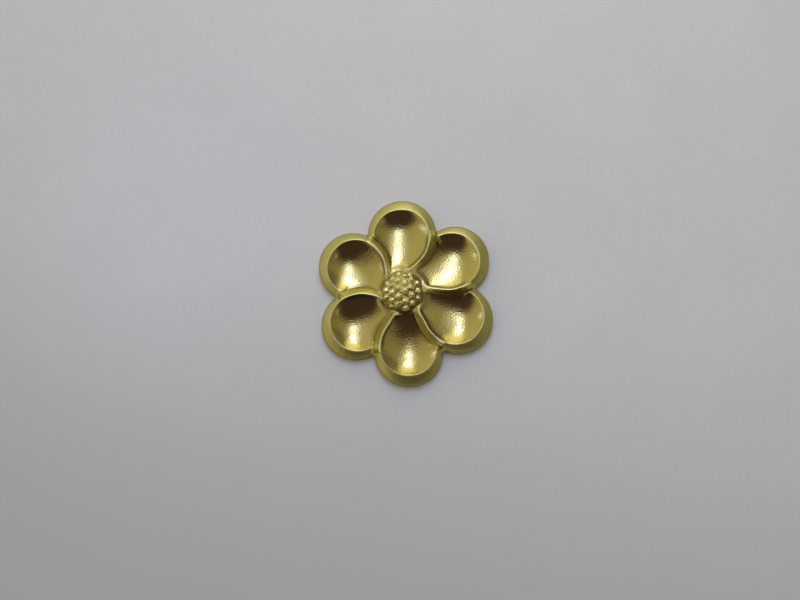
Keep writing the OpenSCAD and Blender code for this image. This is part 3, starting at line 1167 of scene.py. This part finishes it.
class Effects:
    """The surface effects that the finishes share, each a shader node group."""

    def __init__(self) -> None:
        """Build the groups."""
        self.clouds = self._clouds()
        self.peel = self._peel()
        self.streaks = self._streaks()
        self.polish = self._polish()

    @staticmethod
    def _clouds() -> bpy.types.NodeTree:
        """Build tarnish in soft clouds and painted shade in recesses.

        Returns:
            The group, which gives a colour and a mask.
        """
        inputs = {
            "Metal": (COLOUR, (0.6, 0.5, 0.25, 1)),
            "Stain": (COLOUR, (0.3, 0.2, 0.08, 1)),
            "Painted Shade": (COLOUR, (0.2, 0.15, 0.05, 1)),
            "Cloud Scale": (FLOAT, 300.0),
            "Cloud Start": (FLOAT, 0.38),
            "Cloud End": (FLOAT, 0.68),
            "Cloud Share": (FLOAT, 0.3),
            "Shade Share": (FLOAT, 0.3),
        }
        w, start, end = new_group("tarnish_and_painted_shade", inputs, {"Color": COLOUR, "Mask": FLOAT})
        place = w.add("ShaderNodeTexCoord").outputs["Object"]
        cloud = w.noise(place, start.outputs["Cloud Scale"], 4.0)
        cloud = w.ramp(cloud, start.outputs["Cloud Start"], start.outputs["Cloud End"])
        patchy = w.math("MULTIPLY", cloud, start.outputs["Cloud Share"])
        # Painted shade: where the shade mask is high the colour darkens towards the shade colour
        painted_shade_mask = w.math("MULTIPLY", w.fact("painted_shade").outputs["Fac"], start.outputs["Shade Share"])
        stained = w.mix(patchy, start.outputs["Metal"], start.outputs["Stain"])
        w.feed(end.inputs["Color"], w.mix(painted_shade_mask, stained, start.outputs["Painted Shade"]))
        w.feed(end.inputs["Mask"], w.math("MAXIMUM", patchy, painted_shade_mask, clamp=True))
        return w.tree

    @staticmethod
    def _peel() -> bpy.types.NodeTree:
        """Build the faint pebbles and broad waves of struck metal.

        Returns:
            The group, which gives a height in metres.
        """
        inputs = {
            "Pebble Scale": (FLOAT, 2500.0),
            "Pebble Depth": (FLOAT, 1e-5),
            "Wave Scale": (FLOAT, 450.0),
            "Wave Depth": (FLOAT, 1e-5),
        }
        w, start, end = new_group("orange_peel", inputs, {"Height": FLOAT})
        place = w.add("ShaderNodeTexCoord").outputs["Object"]
        heights = [
            w.math("MULTIPLY", w.noise(place, start.outputs[f"{kind} Scale"], detail), depth)
            for kind, detail, depth in (
                ("Pebble", 2.0, start.outputs["Pebble Depth"]),
                ("Wave", 1.0, start.outputs["Wave Depth"]),
            )
        ]
        w.feed(end.inputs["Height"], w.math("ADD", *heights))
        return w.tree

    @staticmethod
    def _streaks() -> bpy.types.NodeTree:
        """Build brush lines, across the shoulder at the tip and along it on the sides.

        Returns:
            The group, which gives a height in streaks.
        """
        inputs = {"Fine": (FLOAT, 3.5), "Coarse": (FLOAT, 0.3), "Flank Gain": (FLOAT, 6.5)}
        w, start, end = new_group("brush_streaks", inputs, {"Height": FLOAT})
        place = w.add("ShaderNodeSeparateXYZ", {0: w.fact("place").outputs["Vector"]})
        fine, coarse = start.outputs["Fine"], start.outputs["Coarse"]
        lines = []
        for round_scale, across_scale in ((fine, coarse), (coarse, fine)):
            x = w.math("MULTIPLY", place.outputs[0], round_scale)
            y = w.math("MULTIPLY", place.outputs[1], round_scale)
            z = w.math("MULTIPLY", place.outputs[2], across_scale)
            vector = w.add("ShaderNodeCombineXYZ", {0: x, 1: y, 2: z}).outputs[0]
            lines.append(w.noise(vector, 1.0, 2.0, 0.6))
        along = w.math("MULTIPLY", lines[1], start.outputs["Flank Gain"])
        across = w.math("WRAP", place.outputs[2], GRAIN_APART / 2, -GRAIN_APART / 2)
        for reach, width, depth in SIDE_GROOVES:
            aside = w.math("DIVIDE", w.math("SUBTRACT", across, reach), width)
            groove = w.math("EXPONENT", w.math("MULTIPLY", w.math("MULTIPLY", aside, aside), -1.0))
            along = w.math("SUBTRACT", along, w.math("MULTIPLY", groove, depth))
        flank = w.fact("flank").outputs["Fac"]
        height = w.add("ShaderNodeMix", {0: flank, 2: lines[0], 3: along}).outputs[0]
        w.feed(end.inputs["Height"], height)
        return w.tree

    @staticmethod
    def _polish() -> bpy.types.NodeTree:
        """Build the rubbing on crests and seed tops, a painted highlight where its colour is lighter.

        Returns:
            The group, which gives a colour and a roughness.
        """
        inputs = {
            "Color": (COLOUR, (0.6, 0.5, 0.25, 1)),
            "Rubbed Highlight": (COLOUR, (0.8, 0.7, 0.4, 1)),
            "Roughness": (FLOAT, 0.4),
            "Rubbed Roughness": (FLOAT, 0.2),
            "Share": (FLOAT, 0.7),
            "Uneven Scale": (FLOAT, 900.0),
            "Least": (FLOAT, 0.55),
        }
        w, start, end = new_group("rubbed_and_highlit_crests", inputs, {"Color": COLOUR, "Roughness": FLOAT})
        place = w.add("ShaderNodeTexCoord").outputs["Object"]
        uneven = w.noise(place, start.outputs["Uneven Scale"], 2.0)
        uneven = w.ramp(uneven, 0.25, 0.6, start.outputs["Least"], 1.0)
        crest = w.math("MULTIPLY", w.fact("crest").outputs["Fac"], uneven)
        mask = w.math("MULTIPLY", crest, start.outputs["Share"], clamp=True)
        w.feed(end.inputs["Color"], w.mix(mask, start.outputs["Color"], start.outputs["Rubbed Highlight"]))
        rough = {0: mask, 2: start.outputs["Roughness"], 3: start.outputs["Rubbed Roughness"]}
        w.feed(end.inputs["Roughness"], w.add("ShaderNodeMix", rough).outputs[0])
        return w.tree


@dataclass(frozen=True)
class BrassFinish:
    """How the brass looks in one zone.

    Attributes:
        name: the material's name.
        metal: colour of the clean metal.
        stain: colour of the tarnish.
        shade_colour: colour of the shade painted in recesses.
        rubbed_highlight: colour of rubbed crests, a painted highlight where lighter than the metal.
        cloud_share: strength of the tarnish clouds.
        shade_share: strength of the shade painted in recesses.
        roughness: roughness of the clean metal.
        stained_roughness: what the tarnish adds to the roughness.
        rubbed_roughness: roughness of rubbed crests.
        peel_depth: depth of the pebbling, in metres.
        pebble_scale: pebbles to the metre.
        wave_depth: depth of the broad waves, in metres.
        streak_depth: depth of the brush lines where the metal is brushed, in metres.
        satin_roughness: what the brushing adds to the roughness.
    """

    name: str
    metal: Colour = (0.67, 0.535, 0.127)
    stain: Colour = (0.42, 0.28, 0.07)
    shade_colour: Colour = (0.2, 0.15, 0.045)
    rubbed_highlight: Colour = (0.85, 0.75, 0.24)
    cloud_share: float = 0.35
    shade_share: float = 0.85
    roughness: float = 0.3
    stained_roughness: float = 0.1
    rubbed_roughness: float = 0.42
    peel_depth: float = 2.9e-5
    pebble_scale: float = 3700.0
    wave_depth: float = 1.4e-5
    streak_depth: float = 5.5e-5
    satin_roughness: float = 0.25

    def material(self, effects: Effects) -> bpy.types.Material:
        """Build the zone's material.

        Args:
            effects: the surface effects that it uses.

        Returns:
            The material.
        """
        material = bpy.data.materials.new(self.name)
        material.use_nodes = True
        w = Wiring(material.node_tree)
        shader = material.node_tree.nodes["Principled BSDF"]
        shader.inputs["Metallic"].default_value = 1.0
        tarnish = {
            "Metal": rgba(self.metal),
            "Stain": rgba(self.stain),
            "Painted Shade": rgba(self.shade_colour),
            "Cloud Share": self.cloud_share,
            "Shade Share": self.shade_share,
        }
        clouds = w.add("ShaderNodeGroup", node_tree=effects.clouds)
        for label, value in tarnish.items():
            w.feed(clouds.inputs[label], value)
        streaks = w.add("ShaderNodeGroup", node_tree=effects.streaks)
        stained = w.math("MULTIPLY", clouds.outputs["Mask"], self.stained_roughness)
        satin = w.fact("satin").outputs["Fac"]
        streaked = w.math("MULTIPLY", satin, self.satin_roughness)
        rough = w.math("ADD", w.math("ADD", stained, streaked), self.roughness)
        polish = w.add("ShaderNodeGroup", node_tree=effects.polish)
        w.feed(polish.inputs["Color"], clouds.outputs["Color"])
        w.feed(polish.inputs["Rubbed Highlight"], rgba(self.rubbed_highlight))
        w.feed(polish.inputs["Roughness"], rough)
        w.feed(polish.inputs["Rubbed Roughness"], self.rubbed_roughness)
        w.feed(shader.inputs["Base Color"], polish.outputs["Color"])
        w.feed(shader.inputs["Roughness"], polish.outputs["Roughness"])
        peel = w.add("ShaderNodeGroup", node_tree=effects.peel)
        w.feed(peel.inputs["Pebble Scale"], self.pebble_scale)
        w.feed(peel.inputs["Pebble Depth"], self.peel_depth)
        w.feed(peel.inputs["Wave Depth"], self.wave_depth)
        streak_depth = w.math("MULTIPLY", satin, self.streak_depth)
        streak_height = w.math("MULTIPLY", streaks.outputs["Height"], streak_depth)
        height = w.math("ADD", peel.outputs["Height"], streak_height)
        bump = w.add("ShaderNodeBump", {"Strength": 1.0, "Distance": 1.0, "Height": height})
        w.feed(shader.inputs["Normal"], bump.outputs["Normal"])
        return material


FINISHES = {
    Zone.BOWL: BrassFinish("polished_bowl", roughness=0.15, metal=(0.65, 0.52, 0.13), cloud_share=0.12),
    Zone.SHOULDER: BrassFinish(
        "satin_shoulder",
        roughness=0.2,
        metal=(0.65, 0.57, 0.145),
        # Colour of the shade painted on the shoulder's grooves, lapping sides and edge
        shade_colour=(0.29, 0.205, 0.012),
        # A lighter rubbed colour on the shoulder's crests: a painted highlight
        rubbed_highlight=(1.0, 0.88, 0.17),
        cloud_share=0.15,
        peel_depth=4.5e-5,
    ),
    Zone.SEEDS: BrassFinish(
        "seeds_painted_brighter",
        roughness=0.23,
        # The seeds' metal is lighter than the petals' brass: painted light for their glints
        metal=(1.0, 0.86, 0.26),
        # How strongly shade is painted between the seeds
        shade_share=0.65,
        peel_depth=4e-4,
        pebble_scale=2000,
    ),
    Zone.BACK: BrassFinish("dull_back", roughness=0.5, cloud_share=0.6, peel_depth=1e-5),
}


@dataclass
class Paper:
    """The plain pale paper under the flower.

    Attributes:
        width: its width, in metres, far past what shows.
        colour: its colour in full light.
        unevenness: how much darker its darkest fibres are.
        shade: how much darker its colour is painted on the dim side, a painted shade.
        shade_way: the direction in which it grows paler.
        shade_reach: where along that the shade starts and is full, in metres.
        fibres: fibres to the metre.
        fibre_stretch: how the fibres are drawn out.
        fibre_share: share of the fibres in the unevenness, the rest being broad clouds.
        clouds: clouds to the metre.
        tooth: the tooth's grains to the metre.
        fibre_depth: the tooth's depth, in metres.
    """

    width: float = 3.0
    colour: Colour = (0.955, 0.905, 0.593)
    unevenness: float = 0.07
    shade: float = 0.17
    shade_way: tuple[float, float, float] = (0.3, 1.0, 0.0)
    shade_reach: tuple[float, float] = (0.012, -0.06)
    fibres: float = 2200.0
    fibre_stretch: tuple[float, float, float] = (0.6, 1.0, 1.0)
    fibre_share: float = 0.65
    clouds: float = 60.0
    tooth: float = 1500.0
    fibre_depth: float = 2e-5

    def build(self) -> bpy.types.Object:
        """Build the paper with its material and link it to the scene.

        Returns:
            The new object.
        """
        half = self.width / 2
        mesh = bpy.data.meshes.new("paper")
        corners = [(-half, -half, 0), (half, -half, 0), (half, half, 0), (-half, half, 0)]
        mesh.from_pydata(corners, [], [(0, 1, 2, 3)])
        mesh.materials.append(self._material())
        paper = bpy.data.objects.new("paper", mesh)
        bpy.context.collection.objects.link(paper)
        return paper

    def _material(self) -> bpy.types.Material:
        """Build the paper's material: faint fibres, faint unevenness and a painted shade.

        Returns:
            The material.
        """
        material = bpy.data.materials.new("pale_paper")
        material.use_nodes = True
        w = Wiring(material.node_tree)
        shader = material.node_tree.nodes["Principled BSDF"]
        shader.inputs["Roughness"].default_value = 0.9
        shader.inputs["Specular IOR Level"].default_value = 0.2
        place = w.add("ShaderNodeTexCoord").outputs["Object"]
        broad = w.ramp(w.noise(place, self.clouds, 3.0), 0.3, 0.7)
        drawn = w.add("ShaderNodeVectorMath", {0: place, 1: self.fibre_stretch}, operation="MULTIPLY")
        fine = w.ramp(w.noise(drawn.outputs["Vector"], self.fibres, 2.0), 0.25, 0.75)
        broad = w.math("MULTIPLY", broad, 1 - self.fibre_share)
        mottle = w.math("MULTIPLY_ADD", fine, self.fibre_share, broad)
        darker = tuple((1 - self.unevenness) * c for c in self.colour)
        # Painted shade: the paper's colour darkens towards the dim side
        shade_painted = tuple((1 - self.shade) * c for c in darker)
        along = w.add("ShaderNodeVectorMath", {0: place, 1: self.shade_way}, operation="DOT_PRODUCT")
        shade = w.ramp(along.outputs["Value"], *self.shade_reach)
        light = w.mix(mottle, rgba(darker), rgba(self.colour))
        w.feed(shader.inputs["Base Color"], w.mix(shade, light, rgba(shade_painted)))
        fibres = w.math("MULTIPLY", w.noise(place, self.tooth, 3.0, 0.6), self.fibre_depth)
        bump = w.add("ShaderNodeBump", {"Strength": 1.0, "Distance": 1.0, "Height": fibres})
        w.feed(shader.inputs["Normal"], bump.outputs["Normal"])
        return material


# The tint of the panels that the bowls mirror as pale spots
COOL: Colour = (0.9, 1.07, 2.85)


@dataclass(frozen=True)
class Panel:
    """A soft panel of light that faces the flower.

    Attributes:
        name: the light's name.
        heading: where it stands, clockwise from the picture's upward direction.
        tilt: its angle from straight overhead.
        span: the angles that it covers across and along its tilt, seen from the flower.
        distance: its distance from the flower, in metres.
        radiance: how bright it looks.
        colour: its tint.
    """

    name: str
    heading: float
    tilt: float
    span: tuple[float, float]
    distance: float
    radiance: float
    colour: Colour = (1.0, 1.0, 1.0)


@dataclass(frozen=True)
class Shade:
    """A dim patch of the room.

    Attributes:
        heading: where it stands, clockwise from the picture's upward direction.
        tilt: its angle from straight overhead.
        reach: the angles from its middle between which it fades.
        share: how much of the room's radiance it takes away.
        colour: the colour of what is left.
    """

    heading: float
    tilt: float
    reach: tuple[float, float]
    share: float
    colour: Colour = (1.0, 1.0, 1.0)


@dataclass
class Studio:
    """The photograph's light and camera, whose directions are turned from the flower's own.

    Attributes:
        up_heading: heading of the picture's upward direction.
        panels: the soft panels.
        lens: the camera's focal length, in millimetres.
        camera_distance: the camera's distance from the flower, in metres.
        camera_tilt: the camera's angle from straight overhead.
        camera_from: where it stands, towards the picture's right and top.
        aim_offset: how far the flower lies off the picture's middle, in pixels.
        picture_width: the picture's width, in pixels.
        overhead: the room's radiance overhead.
        pale_gain: how much the radiance grows towards the pale side of the room.
        pale_heading: where that side is, clockwise from the picture's upward direction.
        darkest: the least radiance.
        shades: the room's dim patches, of which the first is where the photographer stands.
    """

    up_heading: float = 3.15
    panels: tuple[Panel, ...] = (
        Panel("wide_glow", 5, 27, (44, 70), 0.5, 0.2, (0.88, 1.04, 2.0)),
        Panel("close_glow", 5, 26, (27, 52), 0.45, 0.38, COOL),
        Panel("near_panel", 6, 12, (14, 24), 0.4, 1.6, COOL),
        Panel("long_panel", 3, 37, (14, 23), 0.3, 2.9, COOL),
        Panel("low_panel", 6, 60, (34, 44), 0.15, 0.68),
        Panel("far_panel", 122, 54, (9, 8), 0.3, 0.6, (1.0, 1.0, 1.2)),
        Panel("left_panel", -132, 76, (30, 12), 0.3, 0.5, (1.1, 0.95, 0.6)),
        Panel("side_panel", -84, 59, (9, 12), 0.06, 1.3, COOL),
    )
    lens: float = 50.0
    camera_distance: float = 0.1792
    camera_tilt: float = 8.0
    camera_from: tuple[float, float] = (0.33, -0.944)
    aim_offset: tuple[float, float] = (5.5, 6.5)
    picture_width: int = 800
    overhead: float = 0.375
    pale_gain: float = 0.22
    pale_heading: float = -42
    darkest: float = 0.05
    shades: tuple[Shade, ...] = (
        Shade(180, 46, (27, 52), 0.95, (1.1, 0.78, 1.2)),
        Shade(48, 70, (14, 34), 0.5),
    )

    def __post_init__(self) -> None:
        """Work out the picture's directions in the flower's frame."""
        self.up = self._along(0)
        self.right = self._along(90)

    def _along(self, heading: float) -> Vector:
        """Return the level direction at a heading from the picture's upward direction."""
        return Vector((*toward(self.up_heading + heading), 0))

    def _looking(self, place: Vector, forward: Vector, top: Vector) -> Matrix:
        """Place something so that it looks a given way.

        Args:
            place: where it stands.
            forward: the direction that it looks in.
            top: the direction that its top is towards.

        Returns:
            The placement.
        """
        back = -forward.normalized()
        side = top.cross(back).normalized()
        return Matrix.Translation(place) @ Matrix((side, back.cross(side), back)).transposed().to_4x4()

    def add_panel(self, panel: Panel) -> None:
        """Add one soft panel.

        Args:
            panel: the panel.
        """
        way = self._along(panel.heading)
        tilt = math.radians(panel.tilt)
        place = panel.distance * (math.sin(tilt) * way + Vector((0, 0, math.cos(tilt))))
        light = bpy.data.lights.new(panel.name, "AREA")
        light.shape = "ELLIPSE"
        sizes = [2 * panel.distance * math.tan(math.radians(angle / 2)) for angle in panel.span]
        light.size, light.size_y = sizes
        light.energy = panel.radiance * math.pi * math.pi / 4 * sizes[0] * sizes[1]
        light.color = panel.colour
        holder = bpy.data.objects.new(panel.name, light)
        holder.matrix_world = self._looking(place, -place, way)
        bpy.context.collection.objects.link(holder)

    def add_camera(self) -> None:
        """Add the camera at the photograph's angle."""
        camera = bpy.data.cameras.new("camera")
        camera.lens = self.lens
        camera.clip_start = 0.005
        tilt = math.radians(self.camera_tilt)
        aside = self.camera_from[0] * self.right + self.camera_from[1] * self.up
        way = math.sin(tilt) * aside + Vector((0, 0, math.cos(tilt)))
        per_pixel = camera.sensor_width / self.picture_width / self.lens
        forward = -way - per_pixel * (self.aim_offset[0] * self.right + self.aim_offset[1] * self.up)
        holder = bpy.data.objects.new("camera", camera)
        holder.matrix_world = self._looking(self.camera_distance * way, forward, self.up)
        bpy.context.collection.objects.link(holder)
        bpy.context.scene.camera = holder

    def add_room(self) -> None:
        """Add the dim room that the metal mirrors, paler towards one side."""
        world = bpy.data.worlds.new("room")
        world.use_nodes = True
        bpy.context.scene.world = world
        w = Wiring(world.node_tree)
        place = w.add("ShaderNodeTexCoord").outputs["Generated"]
        pale_way = self._along(self.pale_heading)
        pale = w.add("ShaderNodeVectorMath", {0: place, 1: pale_way}, operation="DOT_PRODUCT")
        light = w.math("MULTIPLY_ADD", pale.outputs["Value"], self.pale_gain, self.overhead)
        colour = rgba((1, 1, 1))
        for shade in self.shades:
            tilt = math.radians(shade.tilt)
            way = Vector((0, 0, math.cos(tilt))) + math.sin(tilt) * self._along(shade.heading)
            facing = w.add("ShaderNodeVectorMath", {0: place, 1: way}, operation="DOT_PRODUCT")
            inner, outer = (math.cos(math.radians(angle)) for angle in shade.reach)
            kept = w.ramp(facing.outputs["Value"], outer, inner, 1.0, 1 - shade.share)
            light = w.math("MULTIPLY", light, kept)
            colour = w.mix(kept, rgba(shade.colour), colour)
        background = world.node_tree.nodes["Background"]
        w.feed(background.inputs["Color"], colour)
        w.feed(background.inputs["Strength"], w.math("MAXIMUM", light, self.darkest))

    def set_up(self) -> None:
        """Add the lights and the camera and choose how the render shows its colours."""
        for panel in self.panels:
            self.add_panel(panel)
            LOG.info("%s: radiance %.2f", panel.name, panel.radiance)
        self.add_room()
        self.add_camera()
        bpy.context.scene.view_settings.view_transform = "Standard"


def main() -> None:
    """Build the flower, its finishes and the studio."""
    logging.basicConfig(level=logging.INFO, format="%(name)s: %(message)s")
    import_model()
    low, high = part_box(NODE)
    scale = (high.y - low.y) / DRAWN_ACROSS
    piece = StruckFlower().build(scale)
    effects = Effects()
    for zone in Zone:
        piece.data.materials.append(FINISHES[zone].material(effects))
    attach(piece, "root")
    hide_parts(NODE)
    LOG.info("%s: %d faces", piece.name, len(piece.data.polygons))
    paper = Paper().build()
    LOG.info("%s: %.1f m wide", paper.name, Paper.width)
    Studio().set_up()


if __name__ == "__main__":
    main()
